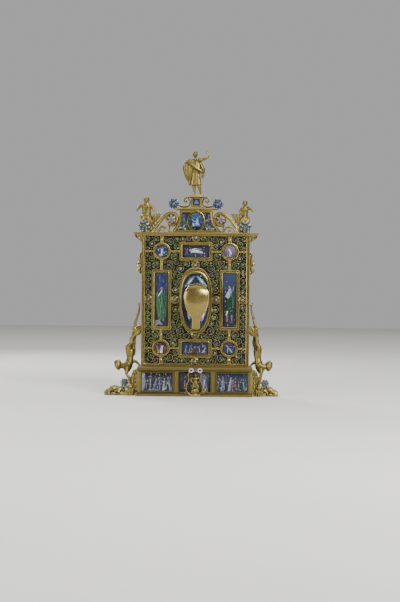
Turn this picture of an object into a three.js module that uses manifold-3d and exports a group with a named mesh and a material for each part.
// A tall gilt and enamelled liturgical pax, the tablet that is carried round to be kissed at Mass.
// It stands on a stepped base and leans on nothing. The side with the handle faces -Y, and z = 0 is
// the surface it stands on. All lengths are millimetres. "Left" and "right" are as seen from -Y.

import * as THREE from "three";
import { mergeVertices } from "three/addons/utils/BufferGeometryUtils.js";
import Module from "manifold-3d";

const wasm = await Module();
wasm.setup();

const { PI, abs, cos, hypot, max, min, sin } = Math;

// Base
const baseWidth = 148;
const baseDepth = 40;
const baseHeight = 38;
const footMouldingHeight = 5.4;
const topMouldingHeight = 6.6;
const mouldingReach = 2;
const scenePlaqueWidth = 42;
const nicheWidth = 40;
const nicheDepth = 7;
const pocketDepth = 1.8;
const stileFilletWidth = 1.5;

// Tablet
const tabletWidth = 140;
const tabletHeight = 170;
const tabletThickness = 12;
const borderWidth = 4.8;
const bottomBorderHeight = 6;
const topBorderHeight = 3.5;
const frameRelief = 1.9;
const filletRelief = 0.9;
const filletWidth = 1.2;
const scrollRelief = 1.1;
const barWidth = 3.2;

// Settings on the tablet
const sideStripWidth = 8.2;
const tallFrameWidth = 25.7;
const tallFrameHeight = 78;
const plaqueFrameWidth = 43;
const plaqueFrameHeight = 24;
const frameBand = 4.3;
const medallionRadius = 11;
const medallionBand = 3.2;
const medallionInset = 17.5;
const ovalHalfWidth = 21.8;
const plaqueToOval = 4.75;
const ovalBand = 4.2;
const ovalEndBand = 9;
const pearlRadius = 3;
const pearlSeat = 0.5;
const collarBand = 2.5;
const enamelThickness = 1.2;
const settingGap = 0.3;

// Handle
const handleReach = 27;
const handlePlateHalfWidth = 15.2;
const handlePlateHalfHeight = 22;
const handleStemHalfWidth = 5.8;
const handleStrapThickness = 2.6;
const handlePadHeight = 5;

// Cornice, pediment and pedestal
const corniceOverhang = 11.5;
const corniceDepth = 24;
const corniceHeight = 3.5;
const bracketDrop = 9;
const bracketDepth = 9;
const pedimentSweep = 13.5;
const pedimentHeight = 29;
const pedimentThickness = 9;
const pedimentBorder = 2;
const pedimentOvalHalfWidth = 11.6;
const pedimentOvalHalfHeight = 14.2;
const pedimentOvalBand = 3.2;
const ledgeOverhang = 12;
const ledgeHeight = 2.8;
const ledgeDepth = 15;
const pedestalHalfWidth = 7;
const pedestalHeight = 17.5;
const pedestalDepth = 13;
const pedestalCapHalfWidth = 10.6;
const pedestalCapHeight = 3.2;
const pedestalEnamelSize = 9.6;

// Figures, scrolls and flowers
const statueHeight = 57;
const leftPuttoHeight = 47;
const rightPuttoHeight = 42.5;
const puttoSeat = 8.3;
const scrollDepth = 7;
const scrollEyeInset = 2.8;
const scrollEyeRise = 17.2;
const scrollEyeRadius = 8.6;
const cornerFlowerRadius = 8;
const eyeFlowerRadius = 5.4;
const ledgeFlowerRadius = 7;
const footFlowerRadius = 5.8;
const flowerThickness = 3.4;
const leftFootReach = 44.5;
const rightFootReach = 36;
const footPadHeight = 12.5;
const footCurlRadius = 4.6;
const footFlowerOut = 17;
const gripNear = 4.6;
const gripFar = 13.2;
const consoleWidth = 9.4;
const consoleDepth = 14;
const crestDrop = 47;
const crestHeight = 24;
const crestReach = 6;
const sideFigureHeight = 107.5;
const leafRise = 44;
const leftBend = { shift: 2.4, headReach: 25.6, spread: 1.6 };
const rightBend = { shift: 0, headReach: 21.8, spread: 0.4 };

// Kissing side
const archHalfWidth = 41;
const archBand = 4.5;
const archHeight = 138;
const crossHeight = 86;
const crossSpan = 52;
const crossBarWidth = 6;
const crossRelief = 1.8;

// Places worked out from those sizes
const tabletHalf = tabletWidth / 2;
const tabletTop = baseHeight + tabletHeight;
const corniceHalfWidth = tabletHalf + corniceOverhang;
const pedimentFootHalfWidth = tabletHalf / 2;
const pedimentNeckHalfWidth = pedimentFootHalfWidth - pedimentSweep;
const ledgeHalfWidth = pedimentNeckHalfWidth + ledgeOverhang;
const scrollEyeX = pedimentFootHalfWidth - scrollEyeInset;
const puttoX = tabletHalf - 4;
const crestRise = tabletHeight - crestDrop;
const frontY = -tabletThickness / 2;
const backY = tabletThickness / 2;
const fieldHalfWidth = tabletHalf - borderWidth;
const fieldBottom = baseHeight + bottomBorderHeight;
const fieldTop = tabletTop - topBorderHeight;
const fieldCentre = (fieldBottom + fieldTop) / 2;
const fieldHalfHeight = (fieldTop - fieldBottom) / 2;
const columnX = fieldHalfWidth - sideStripWidth - tallFrameWidth / 2;
const medallionRise = fieldHalfHeight - medallionInset;
const ovalHalfHeight = medallionRise - plaqueFrameHeight / 2 - plaqueToOval;
const outerStripX = fieldHalfWidth - sideStripWidth / 2;
const innerStripX = (columnX - tallFrameWidth / 2 + ovalHalfWidth) / 2;
const collarRadius = pearlRadius + pearlSeat + collarBand;
const corniceTop = tabletTop + corniceHeight;
const pedimentTop = corniceTop + pedimentHeight;
const ledgeTop = pedimentTop + ledgeHeight;
const pedestalTop = ledgeTop + pedestalHeight;
const dieHalfWidth = baseWidth / 2 - mouldingReach;
const dieHalfDepth = baseDepth / 2 - mouldingReach;
const pocketBottom = footMouldingHeight + 0.4;
const pocketTop = baseHeight - topMouldingHeight - 0.6;
const SIDES = [
  ["left", -1],
  ["right", 1],
];

const gilt = new THREE.MeshStandardMaterial({ color: 0xb08c3a, metalness: 1, roughness: 0.34 });
const pearl = new THREE.MeshStandardMaterial({ color: 0xd8cfca, metalness: 0, roughness: 0.25 });
const enamel = (color) => new THREE.MeshStandardMaterial({ color, metalness: 0, roughness: 0.15 });
const blueEnamel = enamel(0x27406f);
const violetEnamel = enamel(0x3a2442);
const greenEnamel = enamel(0x1f5a3c);
const paleEnamel = enamel(0xc9d2d0);

// Faces that lie flatter than this together are merged in a finished piece
const flatTolerance = 0.08;

const pax = new THREE.Group();

/** Turns a closed geometry into a solid that can be joined and cut. */
function solid(geometry) {
  const loose = geometry.index ? geometry.toNonIndexed() : geometry;
  const bare = new THREE.BufferGeometry().setAttribute("position", loose.getAttribute("position"));
  const merged = mergeVertices(bare, 1e-4);
  return new wasm.Manifold(
    new wasm.Mesh({
      numProp: 3,
      vertProperties: merged.attributes.position.array,
      triVerts: new Uint32Array(merged.index.array),
    }),
  );
}

const join = (solids) => solids.reduce((all, next) => all.add(next));

/** Adds a finished piece to the pax under its name, with its flat faces merged. */
function addPiece(name, made, material) {
  const { numProp, numVert, vertProperties, triVerts } = made.asOriginal().simplify(flatTolerance).getMesh();
  const places = new Float32Array(numVert * 3);
  for (let i = 0; i < numVert; i++)
    places.set(vertProperties.subarray(i * numProp, i * numProp + 3), i * 3);
  const geometry = new THREE.BufferGeometry()
    .setAttribute("position", new THREE.BufferAttribute(places, 3))
    .setIndex(new THREE.BufferAttribute(triVerts, 1));
  geometry.computeVertexNormals();
  const mesh = new THREE.Mesh(geometry, material);
  mesh.name = name;
  pax.add(mesh);
}

/** A block between two corners. */
function block([x0, x1], [y0, y1], [z0, z1]) {
  const geometry = new THREE.BoxGeometry(abs(x1 - x0), abs(y1 - y0), abs(z1 - z0));
  geometry.translate((x0 + x1) / 2, (y0 + y1) / 2, (z0 + z1) / 2);
  return solid(geometry);
}

const FAR = 500;
const cutBelow = (made, z) => made.subtract(block([-FAR, FAR], [-FAR, FAR], [z - FAR, z]));
const cutAbove = (made, z) => made.subtract(block([-FAR, FAR], [-FAR, FAR], [z, z + FAR]));
const cutBehind = (made, y) => made.subtract(block([-FAR, FAR], [y, y + FAR], [-FAR, FAR]));
/** Cuts away what lies nearer the middle plane than x on that side. */
const cutInside = (made, side, x) =>
  made.subtract(block([side * x, side * (x - FAR)], [-FAR, FAR], [-FAR, FAR]));

/** A moulding step: a block that widens or narrows from its foot to its head. */
function step(footHalf, headHalf, z0, z1) {
  const geometry = new THREE.BoxGeometry(2, 2, z1 - z0);
  const places = geometry.getAttribute("position");
  for (let i = 0; i < places.count; i++) {
    const [halfX, halfY] = places.getZ(i) > 0 ? headHalf : footHalf;
    places.setXY(i, places.getX(i) * halfX, places.getY(i) * halfY);
  }
  geometry.translate(0, 0, (z0 + z1) / 2);
  return solid(geometry);
}

/** A flat shape drawn in X and Z, standing from yBack towards -Y by depth. */
function relief(shape, yBack, depth, curveSegments = 8) {
  const geometry = new THREE.ExtrudeGeometry(shape, { depth, bevelEnabled: false, curveSegments });
  geometry.rotateX(PI / 2);
  geometry.translate(0, yBack, 0);
  return solid(geometry);
}

function rectangle(cx, cz, width, height) {
  const [w, h] = [width / 2, height / 2];
  return new THREE.Shape([
    new THREE.Vector2(cx - w, cz - h),
    new THREE.Vector2(cx + w, cz - h),
    new THREE.Vector2(cx + w, cz + h),
    new THREE.Vector2(cx - w, cz + h),
  ]);
}

function ellipse(cx, cz, halfWidth, halfHeight, corners) {
  const points = [];
  for (let i = 0; i < corners; i++) {
    const a = (2 * PI * i) / corners;
    points.push(new THREE.Vector2(cx + halfWidth * cos(a), cz + halfHeight * sin(a)));
  }
  return new THREE.Shape(points);
}

function withHole(outer, inner) {
  const shape = outer.clone();
  shape.holes.push(inner);
  return shape;
}

/** A rectangular frame: a flat band with a raised fillet along its inner edge. */
function rectangularFrame(cx, cz, width, height, band, yBack) {
  const ring = (inset, breadth) =>
    withHole(
      rectangle(cx, cz, width - 2 * inset, height - 2 * inset),
      rectangle(cx, cz, width - 2 * (inset + breadth), height - 2 * (inset + breadth)),
    );
  return join([
    relief(ring(0, band), yBack, frameRelief),
    relief(ring(band - filletWidth, filletWidth), yBack, frameRelief + filletRelief),
  ]);
}

/** A round or oval frame with one raised step along its inner edge. */
function ovalFrame(cx, cz, outer, inner, corners, yBack, height) {
  return relief(
    withHole(ellipse(cx, cz, ...outer, corners), ellipse(cx, cz, ...inner, corners)),
    yBack,
    height,
  );
}

/** The outline of a band of changing width along a centre line of [x, z] points. */
function band(line, widthAt) {
  const near = [];
  const far = [];
  line.forEach(([x, z], i) => {
    const [x0, z0] = line[max(i - 1, 0)];
    const [x1, z1] = line[min(i + 1, line.length - 1)];
    const half = widthAt(i / (line.length - 1)) / 2 / hypot(x1 - x0, z1 - z0);
    near.push(new THREE.Vector2(x - (z1 - z0) * half, z + (x1 - x0) * half));
    far.push(new THREE.Vector2(x + (z1 - z0) * half, z - (x1 - x0) * half));
  });
  return new THREE.Shape([...near, ...far.reverse()]);
}

/** Points on a spiral that closes in on its centre, mirrored by side and by up. */
function spiral(cx, cz, radius, { side = 1, up = 1, turns = 1.3, start = -PI / 2, steps = 5 } = {}) {
  return Array.from({ length: steps + 1 }, (_, i) => {
    const a = start + (2 * PI * turns * i) / steps;
    const r = radius * (1 - (0.72 * i) / steps);
    return [cx + side * r * cos(a), cz + up * r * sin(a)];
  });
}

const smooth = (points, steps) =>
  new THREE.SplineCurve(points.map(([x, z]) => new THREE.Vector2(x, z)))
    .getPoints(steps)
    .map((p) => [p.x, p.y]);

const FRONT = new THREE.Vector3(0, -1, 0);

/**
 * A closed limb, trunk or robe through stations [x, y, z, halfWidth, halfDepth]. Each ring is an
 * ellipse square to the curve with its depth along facing. swell(angle, along) scales a ring's
 * points, which makes folds.
 */
function limb(stations, { sides = 7, steps = 2, facing = FRONT, swell = () => 1 } = {}) {
  const line = new THREE.CatmullRomCurve3(
    stations.map(([x, y, z]) => new THREE.Vector3(x, y, z)),
    false,
    "centripetal",
  );
  const breadth = new THREE.SplineCurve(stations.map((s) => new THREE.Vector2(s[3], s[4])));
  const rings = (stations.length - 1) * steps + 1;
  const places = [];
  const faces = [];
  for (let i = 0; i < rings; i++) {
    const t = i / (rings - 1);
    const centre = line.getPoint(t);
    const along = line.getTangent(t);
    const deep = facing.clone().addScaledVector(along, -facing.dot(along)).normalize();
    const wide = new THREE.Vector3().crossVectors(along, deep);
    const size = breadth.getPoint(t);
    for (let j = 0; j < sides; j++) {
      const a = (2 * PI * j) / sides;
      const scale = swell(a, t);
      places.push(
        ...centre
          .clone()
          .addScaledVector(wide, size.x * cos(a) * scale)
          .addScaledVector(deep, size.y * sin(a) * scale)
          .toArray(),
      );
    }
  }
  const at = (i, j) => i * sides + (j % sides);
  for (let i = 0; i < rings - 1; i++)
    for (let j = 0; j < sides; j++) {
      faces.push(at(i, j), at(i + 1, j + 1), at(i, j + 1));
      faces.push(at(i, j), at(i + 1, j), at(i + 1, j + 1));
    }
  [0, 1].forEach((t) => {
    const pole = places.length / 3;
    const size = breadth.getPoint(t);
    const out = line.getTangent(t).multiplyScalar((t ? 0.45 : -0.45) * min(size.x, size.y));
    places.push(...line.getPoint(t).add(out).toArray());
    const ring = t ? rings - 1 : 0;
    for (let j = 0; j < sides; j++)
      faces.push(pole, ...(t ? [at(ring, j + 1), at(ring, j)] : [at(ring, j), at(ring, j + 1)]));
  });
  const geometry = new THREE.BufferGeometry()
    .setAttribute("position", new THREE.BufferAttribute(new Float32Array(places), 3))
    .setIndex(faces);
  return solid(geometry);
}

/** An egg or ball with its three half sizes. */
function ball([x, y, z], [a, b, c], around = 8, rows = 6) {
  const geometry = new THREE.SphereGeometry(1, around, rows);
  geometry.rotateX(PI / 2);
  geometry.scale(a, b, c);
  geometry.translate(x, y, z);
  return solid(geometry);
}

/** A flower of pointed petals round a raised heart, facing -Y with its flat back at yBack. */
function flower(cx, yBack, cz, radius, petals) {
  const around = petals * 2;
  const rows = [
    [1, 0],
    [0.96, 0.5],
    [0.42, 0.55],
    [0.34, 1],
  ];
  const places = [cx, yBack, cz];
  rows.forEach(([reach, rise], row) => {
    for (let j = 0; j < around; j++) {
      const a = (PI * (j + 0.5)) / petals;
      const r = radius * reach * (row < 2 && j % 2 ? 0.8 : 1);
      places.push(cx + r * cos(a), yBack - rise * flowerThickness, cz + r * sin(a));
    }
  });
  places.push(cx, yBack - flowerThickness * 1.15, cz);
  const at = (row, j) => 1 + row * around + (j % around);
  const tip = places.length / 3 - 1;
  const faces = [];
  for (let j = 0; j < around; j++) {
    faces.push(0, at(0, j + 1), at(0, j));
    for (let row = 0; row < rows.length - 1; row++) {
      faces.push(at(row, j), at(row, j + 1), at(row + 1, j + 1));
      faces.push(at(row, j), at(row + 1, j + 1), at(row + 1, j));
    }
    faces.push(tip, at(rows.length - 1, j), at(rows.length - 1, j + 1));
  }
  const geometry = new THREE.BufferGeometry()
    .setAttribute("position", new THREE.BufferAttribute(new Float32Array(places), 3))
    .setIndex(faces);
  return solid(geometry);
}

/** The base: a die between mouldings, with pockets for two painted scenes and a niche between. */
function makeBase() {
  const die = [dieHalfWidth, dieHalfDepth];
  const full = [baseWidth / 2, baseDepth / 2];
  const footFlat = footMouldingHeight * 0.6;
  const headFlat = baseHeight - topMouldingHeight * 0.62;
  let made = join([
    step(full, full, 0, footFlat),
    step(full, die, footFlat, footMouldingHeight),
    step(die, die, footMouldingHeight, baseHeight - topMouldingHeight),
    step(die, full, baseHeight - topMouldingHeight, headFlat),
    step(full, full, headFlat, baseHeight),
  ]);
  const stileX = nicheWidth / 2 + stileFilletWidth / 2;
  for (const [, side] of SIDES) {
    const inner = sceneCentreX - scenePlaqueWidth / 2;
    const outer = sceneCentreX + scenePlaqueWidth / 2;
    const reach = [side * inner, side * outer];
    made = made
      .subtract(block(reach, [-dieHalfDepth - 1, -dieHalfDepth + pocketDepth], [pocketBottom, pocketTop]))
      .subtract(block(reach, [dieHalfDepth - pocketDepth, dieHalfDepth + 1], [pocketBottom, pocketTop]));
    for (const x of [stileX, inner - stileFilletWidth / 2])
      made = made.add(
        block(
          [side * x - stileFilletWidth / 2, side * x + stileFilletWidth / 2],
          [-dieHalfDepth - filletRelief, -dieHalfDepth + 1],
          [footMouldingHeight - 1, baseHeight - topMouldingHeight + 1],
        ),
      );
  }
  const niche = [-nicheWidth / 2, nicheWidth / 2];
  made = made
    .subtract(block(niche, [-dieHalfDepth - 1, -dieHalfDepth + nicheDepth], [pocketBottom, pocketTop]))
    .subtract(block(niche, [dieHalfDepth - pocketDepth, dieHalfDepth + 1], [pocketBottom, pocketTop]));
  addPiece("base", made, gilt);
}

const sceneCentreX = nicheWidth / 2 + (dieHalfWidth - nicheWidth / 2) / 2 + 2.3;

/** The painted scenes in the base's pockets, and the two enamel plates at the back of its niche. */
function makeBaseEnamels() {
  const rise = [pocketBottom + settingGap, pocketTop - settingGap];
  const pocketFloor = -dieHalfDepth + pocketDepth;
  const nicheFloor = -dieHalfDepth + nicheDepth;
  for (const [name, side] of SIDES) {
    const half = scenePlaqueWidth / 2 - settingGap;
    const centre = side * sceneCentreX;
    addPiece(
      `enamel_scene_${name}`,
      block([centre - half, centre + half], [pocketFloor - enamelThickness, pocketFloor], rise),
      blueEnamel,
    );
    addPiece(
      `enamel_niche_${name}`,
      block(
        [side * settingGap, side * (nicheWidth / 2 - settingGap)],
        [nicheFloor - enamelThickness, nicheFloor],
        rise,
      ),
      side < 0 ? violetEnamel : paleEnamel,
    );
  }
}

/** The small gilt figure that stands in the niche on a shell, in shares of the niche's height. */
function makeNicheFigure() {
  const foot = pocketBottom;
  const tall = pocketTop - pocketBottom - 2 * settingGap;
  const deep = -dieHalfDepth + 1.6;
  const at = (x, z, w, d = w, y = 0) => [x * tall, deep + y * tall, foot + z * tall, w * tall, d * tall];
  const thin = { sides: 5, steps: 1 };
  const parts = [
    limb([at(0, -0.02, 0.2, 0.1), at(0, 0.12, 0.13, 0.09)], { sides: 6, steps: 1 }),
    limb([at(0, 0.42, 0.11, 0.08), at(0, 0.56, 0.08, 0.065), at(0, 0.74, 0.125, 0.08), at(0, 0.8, 0.05)], {
      sides: 6,
      steps: 1,
    }),
    ball(at(0, 0.9, 0).slice(0, 3), [0.065 * tall, 0.07 * tall, 0.095 * tall], 5, 4),
  ];
  for (const [, side] of SIDES) {
    const arm = [
      at(side * 0.1, 0.74, 0.037),
      at(side * 0.17, 0.6, 0.033),
      at(side * 0.12, 0.46, 0.03, 0.03, -0.05),
    ];
    parts.push(
      limb([at(side * 0.11, 0.1, 0.05), at(side * 0.05, 0.48, 0.062)], thin),
      limb(arm, { sides: 4, steps: 1 }),
    );
  }
  addPiece("niche_figure", cutBelow(join(parts), foot), gilt);
}

/**
 * The lyre-shaped strapwork that stands before the niche, with two enamelled rings above, in shares
 * of 40 of the niche's width and of 25 of its height.
 */
function makeNicheStrapwork() {
  const s = nicheWidth / 40;
  const rise = (share) => pocketBottom + ((pocketTop - pocketBottom) * share) / 25;
  const yBack = -baseDepth / 2;
  const depth = 1.6;
  const ringRise = baseHeight - 4.6 * s;
  const parts = [
    relief(rectangle(0, footMouldingHeight * 0.36, 12 * s, footMouldingHeight * 0.6), yBack, depth),
    relief(rectangle(0, ringRise - 0.2, 7 * s, 2.4 * s), yBack, depth),
    relief(ellipse(0, ringRise + 1.4 * s, 2 * s, 2.4 * s, 6), yBack, depth + 0.8),
  ];
  for (const [, side] of SIDES) {
    const line = [
      [side * 4.6 * s, footMouldingHeight * 0.4],
      [side * 8 * s, rise(5)],
      [side * 8.4 * s, rise(11)],
      [side * 6.2 * s, rise(17)],
      [side * 7.4 * s, rise(22)],
      [side * 6 * s, ringRise - 1.4 * s],
    ];
    const rim = [3.1 * s, 3 * s];
    const bore = [1.5 * s, 1.4 * s];
    parts.push(relief(band(line, () => 1.5 * s), yBack, depth));
    parts.push(ovalFrame(side * 5.4 * s, ringRise + 0.6 * s, rim, bore, 6, yBack, depth + 0.5));
  }
  addPiece("niche_strapwork", join(parts), gilt);
}

/** Scrollwork in one quarter of the tablet's field, mirrored by side and by up. */
function scrollwork(side, up) {
  const z = (rise) => fieldCentre + up * rise;
  const columnEdge = tallFrameHeight / 2;
  const plaqueEdge = plaqueFrameWidth / 2;
  const turnings = [
    [fieldHalfWidth - 7.4, fieldHalfHeight - 7.2, 5.4, 1],
    [fieldHalfWidth - 7.6, medallionRise - 11.6, 5.6, -1],
    [plaqueEdge + 8, fieldHalfHeight - 7.8, 5.4, -1],
    [columnX - barWidth / 2 - 10.4, columnEdge + 8.4, 6, 1],
  ];
  const shapes = turnings.map(([x, rise, radius, hand]) =>
    band(
      spiral(side * x, z(rise), radius, { side: hand * side, up, turns: 1.1, steps: 5 }),
      (t) => 1.8 - 0.8 * t,
    ),
  );
  const from = collarRadius + 1;
  const to = columnEdge - 1;
  for (const [x, sway] of [
    [outerStripX, 1.8],
    [innerStripX, 1.3],
  ]) {
    const wave = Array.from({ length: 4 }, (_, i) => [
      side * (x + (i % 2 ? sway : -sway)),
      z(from + ((to - from) * i) / 3),
    ]);
    shapes.push(band(wave, () => 1.4));
  }
  return shapes.map((shape) => relief(shape, frontY, scrollRelief));
}

/** The tablet: a plate with a moulded border, frames, bars, pearl collars and scrollwork. */
function makeTablet() {
  const parts = [
    block([-tabletHalf, tabletHalf], [frontY, backY], [baseHeight, tabletTop]),
    relief(
      withHole(
        rectangle(0, (baseHeight + tabletTop) / 2, tabletWidth, tabletHeight),
        rectangle(0, fieldCentre, 2 * fieldHalfWidth, 2 * fieldHalfHeight),
      ),
      frontY,
      frameRelief,
    ),
    relief(
      withHole(
        rectangle(0, fieldCentre, 2 * (fieldHalfWidth + filletWidth), 2 * (fieldHalfHeight + filletWidth)),
        rectangle(0, fieldCentre, 2 * fieldHalfWidth, 2 * fieldHalfHeight),
      ),
      frontY,
      frameRelief + filletRelief,
    ),
    ovalFrame(
      0,
      fieldCentre,
      [ovalHalfWidth, ovalHalfHeight],
      [ovalHalfWidth - ovalBand, ovalHalfHeight - ovalEndBand],
      16,
      frontY,
      frameRelief + filletRelief,
    ),
    relief(rectangle(0, handlePadZ, 2 * handlePadHalfWidth, handlePadHeight), frontY, enamelThickness),
  ];
  for (const [, side] of SIDES) {
    const x = side * columnX;
    parts.push(
      rectangularFrame(x, fieldCentre, tallFrameWidth, tallFrameHeight, frameBand, frontY),
      block(
        [side * (tabletHalf - filletWidth), side * tabletHalf],
        [frontY - frameRelief - filletRelief, frontY],
        [baseHeight, tabletTop],
      ),
    );
    for (const up of [-1, 1]) {
      const z = fieldCentre + up * medallionRise;
      const ends = [
        [medallionRise + medallionRadius - 1, fieldHalfHeight + 0.5],
        [tallFrameHeight / 2 - 0.5, medallionRise - medallionRadius + 1],
      ];
      for (const [from, to] of ends)
        parts.push(
          relief(
            rectangle(x, fieldCentre + (up * (from + to)) / 2, barWidth, to - from),
            frontY,
            frameRelief,
          ),
        );
      const spans = [
        [columnX + medallionRadius - 1, fieldHalfWidth + 0.5],
        [plaqueFrameWidth / 2 - 0.5, columnX - medallionRadius + 1],
      ];
      for (const [from, to] of spans) {
        const bar = rectangle((side * (from + to)) / 2, z, to - from, barWidth * 0.8);
        parts.push(relief(bar, frontY, frameRelief));
      }
      const rim = [medallionRadius, medallionRadius];
      const bore = [medallionRadius - medallionBand, medallionRadius - medallionBand];
      parts.push(
        ovalFrame(x, z, rim, bore, 12, frontY, frameRelief + filletRelief),
        ...scrollwork(side, up),
      );
    }
  }
  for (const up of [-1, 1])
    parts.push(
      rectangularFrame(
        0,
        fieldCentre + up * medallionRise,
        plaqueFrameWidth,
        plaqueFrameHeight,
        frameBand,
        frontY,
      ),
    );
  const collarRelief = frameRelief + filletRelief + 0.3;
  for (const [, x, z] of pearlPlaces)
    parts.push(relief(ellipse(x, z, collarRadius, collarRadius, 9), frontY, collarRelief));
  parts.push(...kissingSide());
  let made = join(parts);
  const seat = pearlRadius + pearlSeat;
  for (const [, x, z] of pearlPlaces)
    made = made.subtract(relief(ellipse(x, z, seat, seat, 9), frontY, 3 * frameRelief));
  addPiece("tablet", cutAbove(made, tabletTop), gilt);
}

/** Where the pearls sit: on the field's edges, on the oval's ends, and in a row at mid height. */
const pearlPlaces = [
  ["pearl_top", 0, fieldTop],
  ["pearl_above_oval", 0, fieldCentre + ovalHalfHeight - 0.8],
  ["pearl_below_oval", 0, fieldCentre - ovalHalfHeight + 0.8],
  ["pearl_bottom", 0, fieldBottom],
  ["pearl_outer_left", -outerStripX, fieldCentre],
  ["pearl_inner_left", -innerStripX, fieldCentre],
  ["pearl_inner_right", innerStripX, fieldCentre],
  ["pearl_outer_right", outerStripX, fieldCentre],
];

function makePearls() {
  for (const [name, x, z] of pearlPlaces) {
    const centre = frontY - pearlRadius * 0.8;
    addPiece(
      name,
      cutBehind(ball([x, centre, z], [pearlRadius, pearlRadius, pearlRadius], 6, 4), frontY),
      pearl,
    );
  }
}

/** A round-headed outline for the panel on the kissing side. */
function arch(halfWidth, foot, head) {
  const shape = new THREE.Shape();
  shape.moveTo(-halfWidth, foot);
  shape.lineTo(halfWidth, foot);
  shape.lineTo(halfWidth, head - halfWidth);
  shape.absarc(0, head - halfWidth, halfWidth, 0, PI, false);
  return shape;
}

const archFoot = fieldCentre - archHeight / 2;
const archHead = fieldCentre + archHeight / 2;

/** The other side, which is kissed: a plain border and an arched frame. */
function kissingSide() {
  const border = withHole(
    rectangle(0, (baseHeight + tabletTop) / 2, tabletWidth, tabletHeight),
    rectangle(0, fieldCentre, 2 * fieldHalfWidth, 2 * fieldHalfHeight),
  );
  const opening = arch(archHalfWidth - archBand, archFoot + archBand, archHead - archBand);
  const frame = withHole(arch(archHalfWidth, archFoot, archHead), opening);
  const face = backY + frameRelief;
  return [relief(border, face, frameRelief), relief(frame, face, frameRelief, 9)];
}

function makeKissingPanel() {
  const inset = archBand + settingGap;
  const panel = arch(archHalfWidth - inset, archFoot + inset, archHead - inset);
  addPiece("enamel_kissing_panel", relief(panel, backY + enamelThickness, enamelThickness, 9), blueEnamel);
  const face = backY + enamelThickness + crossRelief;
  const foot = fieldCentre - crossHeight / 2;
  const parts = [
    relief(rectangle(0, fieldCentre, crossBarWidth, crossHeight), face, crossRelief),
    relief(rectangle(0, foot + crossHeight * 0.64, crossSpan, crossBarWidth), face, crossRelief),
    relief(rectangle(0, foot + 1.5, crossBarWidth * 3.4, 3), face, crossRelief),
    relief(rectangle(0, foot + 4, crossBarWidth * 2.2, 3), face, crossRelief),
  ];
  addPiece("kissing_cross", join(parts), gilt);
}

/** The enamel plates of the handle side, each lying on the tablet within its frame. */
function makeTabletEnamels() {
  const inset = frameBand + settingGap;
  const lay = (name, shape, material, segments) =>
    addPiece(name, relief(shape, frontY, enamelThickness, segments), material);
  for (const [name, side] of SIDES) {
    lay(
      `enamel_tall_${name}`,
      rectangle(side * columnX, fieldCentre, tallFrameWidth - 2 * inset, tallFrameHeight - 2 * inset),
      greenEnamel,
    );
    for (const [level, up] of [
      ["lower", -1],
      ["upper", 1],
    ]) {
      const r = medallionRadius - medallionBand - settingGap;
      lay(
        `enamel_medallion_${level}_${name}`,
        ellipse(side * columnX, fieldCentre + up * medallionRise, r, r, 12),
        violetEnamel,
      );
    }
  }
  for (const [level, up] of [
    ["lower", -1],
    ["upper", 1],
  ])
    lay(
      `enamel_plaque_${level}`,
      rectangle(
        0,
        fieldCentre + up * medallionRise,
        plaqueFrameWidth - 2 * inset,
        plaqueFrameHeight - 2 * inset,
      ),
      up < 0 ? blueEnamel : violetEnamel,
    );
  const oval = ellipse(
    0,
    fieldCentre,
    ovalHalfWidth - ovalBand - settingGap,
    ovalHalfHeight - ovalEndBand - settingGap,
    16,
  );
  const slot = rectangle(
    0,
    handlePadZ,
    2 * (handlePadHalfWidth + settingGap),
    handlePadHeight + 2 * settingGap,
  );
  lay("enamel_oval", withHole(oval, slot), blueEnamel);
}

const handlePadHalfWidth = handlePlateHalfWidth * 0.6;
const handleTop = fieldCentre + handlePlateHalfHeight - 3;
const handlePadZ = handleTop - handlePadHeight / 2 + 1;

/** The handle: a strap that springs from the oval, swells into a domed plate and returns. */
function makeHandle() {
  const padY = frontY - enamelThickness;
  const footY = frontY - frameRelief - filletRelief;
  const outY = padY - handleReach;
  const footZ = fieldCentre - ovalHalfHeight + ovalEndBand * 0.85;
  const plateFoot = handleTop - 2 * handlePlateHalfHeight;
  const stem = handleStemHalfWidth;
  const thick = handleStrapThickness / 2;
  const wide = handlePlateHalfWidth;
  const strap = limb(
    [
      [0, padY + 2, handlePadZ, wide * 0.55, thick],
      [0, padY - handleReach * 0.35, handleTop - 0.2, wide * 0.6, thick],
      [0, padY - handleReach * 0.75, handleTop - 3, wide * 0.75, thick],
      [0, outY + 4, handleTop - 12, wide * 0.85, thick],
      [0, outY + 4, handleTop - 24, wide * 0.85, thick],
      [0, outY + 5.4, handleTop - 35, wide * 0.6, thick],
      [0, outY + 10, plateFoot + 2, stem, thick],
      [0, outY + 18, footZ + 5.4, stem, thick],
      [0, footY + 2, footZ, stem * 1.15, thick],
    ],
    { sides: 6, steps: 1, facing: new THREE.Vector3(0, -0.6, -1) },
  );
  const plate = limb(
    [
      [0, outY + 5, handleTop - 0.6, wide * 0.62, 1.4],
      [0, outY + 3.2, handleTop - 5, wide * 0.88, 2.6],
      [0, outY + 2.6, handleTop - 14, wide, 3.2],
      [0, outY + 3, handleTop - 25, wide * 0.93, 3],
      [0, outY + 5, handleTop - 35, wide * 0.64, 2.2],
      [0, outY + 7.6, plateFoot + 2.4, stem, 1.4],
    ],
    { sides: 12, steps: 1 },
  );
  const behindPad = block([-FAR, FAR], [padY, FAR], [handlePadZ - 20, FAR]);
  const behindFoot = block([-FAR, FAR], [footY, FAR], [-FAR, handlePadZ - 20]);
  addPiece("handle", strap.add(plate).subtract(behindPad).subtract(behindFoot), gilt);
}

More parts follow.
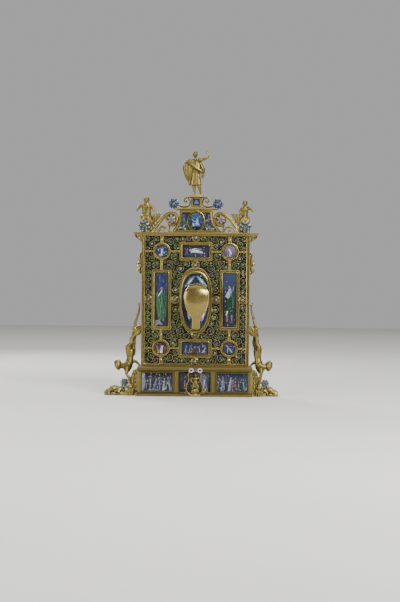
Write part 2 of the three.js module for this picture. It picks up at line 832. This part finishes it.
/** The cornice over the tablet, with a carved bracket under each end. */
function makeCornice() {
  const half = [corniceHalfWidth, corniceDepth / 2];
  const under = [corniceHalfWidth - 2, corniceDepth / 2 - 2];
  const parts = [
    step(under, half, tabletTop, tabletTop + corniceHeight * 0.45),
    step(half, half, tabletTop + corniceHeight * 0.45, corniceTop),
  ];
  for (const [, side] of SIDES) {
    const reach = corniceHalfWidth - 3 - tabletHalf;
    const line = smooth(
      [
        [side * (tabletHalf + reach), tabletTop + 0.5],
        [side * (tabletHalf + reach * 0.8), tabletTop - bracketDrop * 0.35],
        [side * (tabletHalf + reach * 0.3), tabletTop - bracketDrop * 0.6],
        [side * tabletHalf, tabletTop - bracketDrop],
      ],
      6,
    );
    const outline = new THREE.Shape([
      ...line.map(([x, z]) => new THREE.Vector2(x, z)),
      new THREE.Vector2(side * tabletHalf, tabletTop + 0.5),
    ]);
    parts.push(relief(outline, bracketDepth / 2, bracketDepth));
  }
  addPiece("cornice", join(parts), gilt);
}

/** One swept side of the pediment from foot to neck, drawn in by inset square to the sweep. */
function pedimentEdge(inset, side, foot, head) {
  const spread = pedimentFootHalfWidth - pedimentNeckHalfWidth;
  const steps = 6;
  return Array.from({ length: steps + 1 }, (_, i) => {
    const z = foot + (head - foot) * (i / steps) ** 1.3;
    const left = 1 - (z - corniceTop) / pedimentHeight;
    const slope = (3 * spread * left ** 2) / pedimentHeight;
    const x = pedimentNeckHalfWidth + spread * left ** 3 - inset * hypot(1, slope);
    return new THREE.Vector2(side * x, z);
  });
}

function pedimentOutline(inset) {
  const foot = corniceTop + inset;
  const head = pedimentTop - inset;
  return new THREE.Shape([
    ...pedimentEdge(inset, 1, foot, head),
    ...pedimentEdge(inset, -1, foot, head).reverse(),
  ]);
}

const pedimentOvalZ = (corniceTop + pedimentTop) / 2;

/** The pediment: a plate with swept sides, a raised rim, an oval frame and a ledge on top. */
function makePediment() {
  const y = -pedimentThickness / 2;
  const outer = [pedimentOvalHalfWidth, pedimentOvalHalfHeight];
  const inner = outer.map((half) => half - pedimentOvalBand);
  const made = join([
    relief(pedimentOutline(0), -y, pedimentThickness),
    relief(withHole(pedimentOutline(0), pedimentOutline(pedimentBorder)), y, frameRelief),
    ovalFrame(0, pedimentOvalZ, outer, inner, 16, y, frameRelief + filletRelief),
    step(
      [ledgeHalfWidth - 1.2, ledgeDepth / 2 - 1.2],
      [ledgeHalfWidth, ledgeDepth / 2],
      pedimentTop,
      pedimentTop + ledgeHeight * 0.5,
    ),
    step(
      [ledgeHalfWidth, ledgeDepth / 2],
      [ledgeHalfWidth, ledgeDepth / 2],
      pedimentTop + ledgeHeight * 0.5,
      ledgeTop,
    ),
  ]);
  addPiece("pediment", made, gilt);

  const disc = inner.map((half) => half - settingGap);
  addPiece(
    "enamel_pediment_oval",
    relief(ellipse(0, pedimentOvalZ, ...disc, 14), y, enamelThickness),
    blueEnamel,
  );
  const clear = outer.map((half) => half + settingGap);
  const wings = relief(pedimentOutline(pedimentBorder + settingGap), y, enamelThickness).subtract(
    relief(ellipse(0, pedimentOvalZ, ...clear, 16), y + 1, enamelThickness + 2),
  );
  for (const [name, side] of SIDES)
    addPiece(
      `enamel_pediment_${name}`,
      cutInside(wings, side, 2 + pedimentBorder),
      side < 0 ? blueEnamel : violetEnamel,
    );
}

/** The pedestal under the statue, with a volute on each side in shares of 7 of its half width. */
function makePedestal() {
  const dieTop = pedestalTop - pedestalCapHeight;
  const flare = [pedestalHalfWidth + 2.6, pedestalDepth / 2 - 0.6];
  const die = [pedestalHalfWidth, pedestalDepth / 2 - 1.4];
  const cap = [pedestalCapHalfWidth, pedestalDepth / 2];
  const parts = [
    step(flare, die, ledgeTop, ledgeTop + 3),
    step(die, die, ledgeTop + 3, dieTop),
    step(die, cap, dieTop, dieTop + pedestalCapHeight * 0.6),
    step(cap, cap, dieTop + pedestalCapHeight * 0.6, pedestalTop),
  ];
  const s = pedestalHalfWidth / 7;
  for (const [, side] of SIDES) {
    const line = smooth(
      [
        [side * 20 * s, ledgeTop + 0.6 * s],
        [side * 15 * s, ledgeTop + 2.2 * s],
        [side * 10 * s, ledgeTop + 6 * s],
        [side * 9.2 * s, dieTop - 2.4 * s],
        [side * 13 * s, dieTop + 0.4 * s],
        [side * 16.4 * s, dieTop - 3.4 * s],
        [side * 14 * s, dieTop - 6.6 * s],
      ],
      10,
    );
    parts.push(relief(band(line, (t) => (2.6 - 1.1 * t) * s), scrollDepth / 2 - 0.5, scrollDepth - 1));
    parts.push(
      block(
        [side * (pedestalHalfWidth - 1), side * (pedestalHalfWidth + 3)],
        [-1.5, 1.5],
        [ledgeTop + 6, ledgeTop + 9],
      ),
    );
  }
  const face = -pedestalDepth / 2 + 1.4;
  const half = pedestalEnamelSize / 2;
  const centre = (ledgeTop + 3 + dieTop) / 2;
  const pocket = block(
    [-half, half],
    [face - 1, face + pocketDepth * 0.6],
    [centre - half, centre + half],
  );
  addPiece("pedestal", cutBelow(join(parts), ledgeTop).subtract(pocket), gilt);
  const plate = half - settingGap;
  addPiece(
    "enamel_pedestal",
    block(
      [-plate, plate],
      [face + pocketDepth * 0.6 - enamelThickness * 0.8, face + pocketDepth * 0.6],
      [centre - plate, centre + plate],
    ),
    violetEnamel,
  );
}

/**
 * The S-shaped scroll that leads from the pediment down to the putto on the cornice's end, with its
 * leaves, in shares of 8.6 of its eye's radius.
 */
function makeScroll(name, side) {
  const r = scrollEyeRadius;
  const s = r / 8.6;
  const eyeZ = corniceTop + scrollEyeRise;
  const sweep = puttoX - puttoSeat - scrollEyeX;
  const at = (out, rise) => [side * (scrollEyeX + out * s), corniceTop + rise * s];
  const down = (share, rise) => [side * (scrollEyeX + sweep * share), corniceTop + rise * s];
  const around = Array.from({ length: 8 }, (_, i) => {
    const a = PI * 0.3 + (i * PI * 1.4) / 7;
    return [side * (scrollEyeX + r * cos(a)), eyeZ + r * sin(a)];
  });
  const line = smooth([down(1, -1), down(0.843, 4.6), down(0.643, 12), down(0.431, 20), ...around], 13);
  const parts = [
    relief(band(line, (t) => (4.6 - 2.2 * t) * s), scrollDepth / 2, scrollDepth),
    relief(ellipse(side * scrollEyeX, eyeZ, r, r, 10), 1, 2),
  ];
  const leaves = [
    [13, 18, 12, 25.4, 3.4],
    [17.5, 13, 17.4, 24.6, 3.2],
    [21.5, 8.5, 22.8, 21.6, 3],
  ];
  for (const [x0, z0, x1, z1, width] of leaves) {
    const stem = smooth([at(x0, z0), at((x0 + x1) / 2 + 1.6, (z0 + z1) / 2 + 1), at(x1, z1)], 3);
    parts.push(relief(band(stem, (t) => width * s * (1 - 0.55 * t)), 1.6, 3.2));
  }
  const tendril = smooth([at(3, -0.5), at(5, 5), at(11, 6.4), at(17, 5), at(19, -0.5)], 5);
  parts.push(relief(band(tendril, () => 2 * s), 1.4, 2.8));
  parts.push(relief(rectangle(...at(3.4, 5), 3 * s, 8 * s), 1.2, 2.4));
  const clear = relief(pedimentOutline(-settingGap), FAR, 2 * FAR);
  addPiece(`scroll_${name}`, cutBelow(join(parts).subtract(clear), corniceTop), gilt);
  addPiece(`flower_eye_${name}`, flower(side * scrollEyeX, -1, eyeZ, eyeFlowerRadius, 6), paleEnamel);
}

/** The flower at each end of the cornice, and the one at each end of the pediment's ledge. */
function makeFlowers(name, side) {
  const cornerY = -corniceDepth / 2 + flowerThickness + 1.4;
  const corner = flower(side * puttoX, cornerY, corniceTop + cornerFlowerRadius - 0.6, cornerFlowerRadius, 6);
  addPiece(`flower_corner_${name}`, cutBelow(corner, corniceTop), paleEnamel);
  const ledgeX = side * (ledgeHalfWidth - 4.5);
  const ledge = flower(ledgeX, 1, ledgeTop + ledgeFlowerRadius - 0.6, ledgeFlowerRadius, 5);
  addPiece(`flower_ledge_${name}`, cutBelow(ledge, ledgeTop), blueEnamel);
}

/**
 * A naked child seated on a block behind a corner flower. lean is how far its trunk stands from
 * the seat's middle, and hands are where its two hands reach, in shares of 47 of its height.
 */
function putto(side, height, lean, hands) {
  const s = height / 47;
  const at = (x, y, z, w, d) => [side * puttoX + x * s, y * s, corniceTop + z * s, w * s, d * s];
  const parts = [
    limb([at(lean * 0.4, 2, -1, 4.2, 3.2), at(lean * 0.6, 2, 10, 4.4, 3.2), at(lean * 0.8, 2, 20, 4.6, 3)], {
      sides: 5,
      steps: 1,
    }),
    limb(
      [
        at(lean, 1.4, 17.6, 5.6, 4.2),
        at(lean, 0.8, 24, 5, 3.8),
        at(lean, 0.2, 29, 4.6, 3.3),
        at(lean, 0, 34, 5.6, 3.5),
        at(lean, -0.2, 38.2, 2.4, 2.2),
        at(lean, -0.4, 40, 1.8, 1.8),
      ],
      { sides: 7, steps: 1 },
    ),
    ball(at(lean, -0.9, 42.8).slice(0, 3), [3.5 * s, 3.7 * s, 4.2 * s], 8, 6),
  ];
  for (const [hip, [hx, hy, hz]] of [
    [-1, hands[0]],
    [1, hands[1]],
  ]) {
    parts.push(
      limb(
        [
          at(lean + hip * 2.4, 1, 20.4, 3, 3),
          at(lean + hip * 4, -3.6, 20.4, 2.5, 2.5),
          at(lean + hip * 4.4, -4.4, 12, 2, 2),
          at(lean + hip * 4.2, -4.2, 5, 1.3, 1.4),
        ],
        { sides: 5, steps: 1, facing: new THREE.Vector3(0, -1, 0.6) },
      ),
      limb(
        [
          at(lean + hip * 4, 0, 35, 2.1, 2.1),
          at((lean + hip * 5.4 + hx) / 2 + hip, hy / 2, (35 + hz) / 2 + 0.8, 1.7, 1.7),
          at(hx, hy, hz, 1.1, 1.2),
        ],
        { sides: 5, steps: 1 },
      ),
    );
  }
  return cutBelow(join(parts), corniceTop);
}

/** A full-length cloak, tunic or hair mass with folds that run down it. */
const folded = (stations, folds, depth, twist, sides) =>
  limb(stations, {
    sides,
    steps: 1,
    swell: (a, t) => 1 + depth * (0.4 + 0.6 * t) * cos(folds * a + twist * t),
  });

/** The cloaked figure on top, with its arm raised: shares of 57 of its own height. */
function makeStatue() {
  const s = statueHeight / 57;
  const at = (x, y, z, w, d = w) => [x * s, y * s, pedestalTop + z * s, w * s, d * s];
  const sideways = { sides: 5, steps: 1, facing: new THREE.Vector3(1, 0, 0) };
  const parts = [
    limb(
      [
        at(-3.4, -2.6, 0.5, 1.1, 1.5),
        at(-2.4, 0, 1.2, 1.1),
        at(-3.2, 0.4, 8, 1.8),
        at(-3.8, 0, 15, 2.2),
      ],
      sideways,
    ),
    limb(
      [
        at(6.4, -2.4, 0.5, 1.1, 1.5),
        at(5.2, 0, 1.2, 1.1),
        at(4, -0.4, 8, 1.8),
        at(2.2, -0.4, 15, 2.2),
      ],
      sideways,
    ),
    folded(
      [
        at(-2.2, 0, 12.8, 8, 4.8),
        at(-2.2, 0, 18, 7.6, 4.8),
        at(-1.6, 0, 25, 6.2, 4.3),
        at(-1, 0, 31, 6, 4.1),
        at(-1.4, 0, 38, 6.2, 4),
        at(-2, 0, 43, 4.8, 3.2),
        at(-3, 0, 45.4, 2, 2),
      ],
      5,
      0.1,
      1.1,
      15,
    ),
    folded(
      [
        at(-6.6, 1.6, 16.6, 3.4, 2.6),
        at(-7.4, 1.8, 22, 6.4, 4.4),
        at(-8, 1.8, 29, 8.2, 5.6),
        at(-8.4, 1.6, 36, 9.2, 6),
        at(-7.4, 1.2, 41.4, 7.8, 5),
        at(-5, 0.8, 44.8, 3.6, 3),
      ],
      4,
      0.13,
      2.2,
      12,
    ),
    limb(
      [
        at(-11.6, -2.6, 41.6, 2),
        at(-6, -5, 38.6, 2.3),
        at(1, -5.4, 33.6, 2.3),
        at(7.6, -3.2, 29.6, 2.1),
        at(8.2, -0.6, 34, 2.4),
        at(4.4, 0.6, 39, 2.4),
      ],
      { sides: 6, steps: 1, facing: new THREE.Vector3(0, 0, 1) },
    ),
    limb(
      [
        at(-0.4, -0.4, 42, 2.3),
        at(4.4, -0.8, 46, 1.8),
        at(9, -1.2, 46.6, 1.5),
        at(13.2, -1.6, 47.6, 1.4),
        at(14.6, -1.8, 51, 1.3),
        at(13.4, -1.8, 55.6, 1),
        at(11.4, -1.8, 58.6, 1, 0.7),
      ],
      { sides: 5, steps: 1 },
    ),
    limb([at(-2.4, 0, 44, 1.9), at(-2.2, -0.2, 49.6, 1.6)], { sides: 6, steps: 1 }),
    ball(at(-2.1, -0.4, 52.6, 0).slice(0, 3), [2.6 * s, 2.9 * s, 4.3 * s], 8, 6),
    ball(at(-2.1, 0.7, 53.9, 0).slice(0, 3), [3 * s, 3 * s, 3 * s], 7, 5),
  ];
  addPiece("statue", cutBelow(join(parts), pedestalTop), gilt);
}

/**
 * The figure that stands on its hands at each side, in shares of 107.5 of its height: hands on the
 * foot and on the base, head raised outwards, and legs that turn into a leaf cup and a tendril
 * against the tablet's side. shift moves its trunk outwards, headReach its head, and spread parts
 * its legs.
 */
function makeSideFigure(name, side, { shift, headReach, spread }) {
  const s = sideFigureHeight / 107.5;
  const low = baseWidth / 2;
  const beside =
    (start, foot) =>
    (x, y, z, w, d = w) => [side * (start + x * s), y * s, foot + z * s, w * s, d * s];
  const trunk = beside(low + shift, 0);
  const head = beside(low + headReach, 0);
  const frontLeg = beside(low + shift + spread, 0);
  const backLeg = beside(low + shift - spread, 0);
  const arm = beside(low, 0);
  const knee = beside(tabletHalf + shift, baseHeight);
  const leaf = beside(tabletHalf, baseHeight + leafRise);
  const plain = (sides) => ({ sides, steps: 1 });
  const parts = [
    limb(
      [
        trunk(11.4, -4.6, 33.4, 4, 4.2),
        trunk(9.8, -3.8, 38, 5.4, 5.2),
        trunk(8, -2.6, 46, 4.4, 4.4),
        trunk(7.4, -1.6, 52, 4.6, 4.6),
        trunk(7.6, -1, 57, 5, 4.6),
      ],
      plain(7),
    ),
    limb(
      [
        frontLeg(7.8, -3, 52, 3.2, 3.4),
        frontLeg(8.6, -3.2, 62, 3.1, 3.2),
        knee(10, -2.4, 33, 2.6),
        leaf(9, -0.8, -1, 2.2),
      ],
      plain(5),
    ),
    limb(
      [
        backLeg(6.2, 1, 53, 3.2, 3.4),
        backLeg(5.6, 1.6, 62, 3.1, 3.2),
        knee(7, 1, 33, 2.4),
        leaf(8, 0, -2, 2),
      ],
      plain(5),
    ),
    limb([trunk(12, -5.4, 34.6, 2.4), head(-3.4, -6.6, 35, 2.1), head(0, -7, 38, 2)], plain(6)),
    ball(head(0, -7.2, 40.4).slice(0, 3), [3.9 * s, 4.4 * s, 5.8 * s], 8, 5),
    ball(head(1.6, -6.2, 42.6).slice(0, 3), [3.7 * s, 4.4 * s, 4.6 * s], 6, 4),
    limb(
      [
        trunk(11.6, -7.4, 36, 2.6),
        trunk(11.6, -10, 29, 2),
        arm(10, -10.6, 20, 1.6),
        beside(low, footPadHeight)(8.6, -10.2, 0, 1.9),
      ],
      plain(5),
    ),
    limb(
      [
        trunk(8, 0.4, 40, 2.6),
        arm(4.6, 2.4, 43.6, 2.1),
        arm(1.6, 3, 41.4, 1.8),
        beside(low, baseHeight)(-1.6, 3, 0.6, 1.8, 1.6),
      ],
      plain(5),
    ),
    folded(
      [
        leaf(10.2, -0.6, -5, 2.6, 3),
        leaf(6.6, -0.4, -0.4, 4.6, 4.8),
        leaf(2.6, 0, 3.6, 5, 5),
        leaf(-1.6, 0, 5, 4, 4.2),
      ],
      4,
      0.14,
      0,
      12,
    ),
    limb(
      [
        leaf(9, 0, -2, 2, 2.4),
        leaf(8, 0, 10, 1.5, 2),
        leaf(5, 0, 19, 1.3, 1.8),
        leaf(2.6, 0, 28, 1.3, 1.6),
        leaf(3.6, 0, 38, 0.8, 0.9),
      ],
      plain(5),
    ),
  ];
  const grip = block([side * (low + gripNear), side * (low + gripFar)], [-FAR, FAR], [0, footPadHeight]);
  const rail = block([0, side * low], [-FAR, FAR], [-FAR, baseHeight]);
  const made = cutInside(join(parts), side, tabletHalf).subtract(grip).subtract(rail);
  addPiece(`side_figure_${name}`, made, gilt);
}

/**
 * The scrolled foot outside the base, in shares of 9.4 of its console's width: the carved console,
 * a leafy volute and a flower's bracket.
 */
function makeFoot(name, side, reach) {
  const s = consoleWidth / 9.4;
  const low = baseWidth / 2;
  const x = (out) => side * (low + out);
  const outline = [
    [0, 0],
    [11, 0],
    [8.4, 7],
    [9, 17],
    [6.4, 32],
    [1.6, 34.4],
    [0, 34],
  ];
  const bracket = new THREE.Shape(
    smooth(
      outline.map(([out, rise]) => [x(out * s), (rise * baseHeight) / 38]),
      9,
    ).map(([px, pz]) => new THREE.Vector2(px, pz)),
  );
  const eye = [reach - footCurlRadius * 2.5, footCurlRadius + 0.8 * s];
  const curl = Array.from({ length: 7 }, (_, i) => {
    const a = -PI / 2 + (i * 2 * PI * 0.95) / 6;
    const r = footCurlRadius * (1 - 0.09 * i);
    return [x(eye[0] + r * cos(a)), eye[1] + r * sin(a)];
  });
  const sweep = [[x(3 * s), 4.6 * s], [x((eye[0] + 3 * s) / 2), 2.4 * s], ...curl];
  const padDepth = [-13.4 * s, -consoleDepth / 2 + 1];
  const parts = [
    relief(bracket, consoleDepth / 2, consoleDepth),
    relief(band(sweep, (t) => (3.6 - 1.6 * t) * s), 5.4 * s, 11 * s),
    block([x(gripNear), x(gripFar)], padDepth, [0, footPadHeight]),
    block([x(gripNear), x(reach * 0.5)], [-8.4 * s, 4.4 * s], [0, 4.4 * s]),
  ];
  for (const y of [-3.6 * s, 3.6 * s]) {
    const ridge = [
      [x(7 * s), y, 5 * s, 2.1 * s, 1.9 * s],
      [x(7.4 * s), y, 16 * s, 2 * s, 1.8 * s],
      [x(4.4 * s), y, baseHeight - 7 * s, 1.6 * s, 1.5 * s],
    ];
    parts.push(limb(ridge, { sides: 5, steps: 1 }));
  }
  for (const y of [-4.6 * s, 4 * s]) {
    const leaf = [
      [x(reach * 0.5 - 2 * s), y * 0.6 - 0.6 * s, 3.4 * s, 2.4 * s, 3 * s],
      [x(reach * 0.78), y - 0.6 * s, 4 * s, 2.6 * s, 2.6 * s],
      [x(reach - 1.2 * s), y * 1.1 - 0.6 * s, 1.7 * s, 1.6 * s, 1.7 * s],
    ];
    parts.push(limb(leaf, { sides: 5, steps: 1, facing: new THREE.Vector3(0, 1, 0) }));
  }
  const flowerX = low + footFlowerOut;
  const flowerZ = footPadHeight + footFlowerRadius * 0.7;
  const stem = [side * (flowerX - 1.8 * s), side * (flowerX + 1.8 * s)];
  parts.push(block(stem, [-3, 1], [3 * s, flowerZ + 1]));
  addPiece(`foot_${name}`, cutInside(cutBelow(join(parts), 0), side, low), gilt);
  addPiece(`flower_foot_${name}`, flower(side * flowerX, -3, flowerZ, footFlowerRadius, 6), paleEnamel);
}

/** The small scrolled crest on each side of the tablet, in shares of 6 of its reach. */
function makeCrest(name, side) {
  const x = (out) => side * (tabletHalf + out);
  const z = (share) => baseHeight + crestRise + crestHeight * share;
  const s = crestReach / 6;
  const spine = [
    [x(s), z(0)],
    [x(2.2 * s), z(0.22)],
    [x(s), z(0.5)],
    [x(2.4 * s), z(0.72)],
    [x(0.6 * s), z(1)],
  ];
  const parts = [
    relief(band(spine, (t) => (3 - 1.2 * t) * s), 3 * s, 6 * s),
    relief(ellipse(x(3.1 * s), z(0.14), 2.3 * s, 2.5 * s, 8), 2.4 * s, 4.8 * s),
    relief(ellipse(x(3.3 * s), z(0.38), 2.2 * s, 2.4 * s, 8), 2 * s, 4 * s),
  ];
  addPiece(`crest_${name}`, cutInside(join(parts), side, tabletHalf), gilt);
}

makeBase();
makeBaseEnamels();
makeNicheFigure();
makeNicheStrapwork();
makeTablet();
makePearls();
makeKissingPanel();
makeTabletEnamels();
makeHandle();
makeCornice();
makePediment();
makePedestal();
makeStatue();
for (const [name, side] of SIDES) {
  makeScroll(name, side);
  makeFlowers(name, side);
  makeSideFigure(name, side, side < 0 ? leftBend : rightBend);
  makeFoot(name, side, side < 0 ? leftFootReach : rightFootReach);
  makeCrest(name, side);
}
addPiece(
  "putto_left",
  putto(-1, leftPuttoHeight, 2.4, [
    [-10.5, -1.4, 28.8],
    [12, -1.6, 27.4],
  ]),
  gilt,
);
const rightPutto = putto(1, rightPuttoHeight, -3.4, [
  [-8.6, -1, 26],
  [8.6, -2, 31.6],
]);
addPiece("putto_right", rightPutto, gilt);

export default pax;
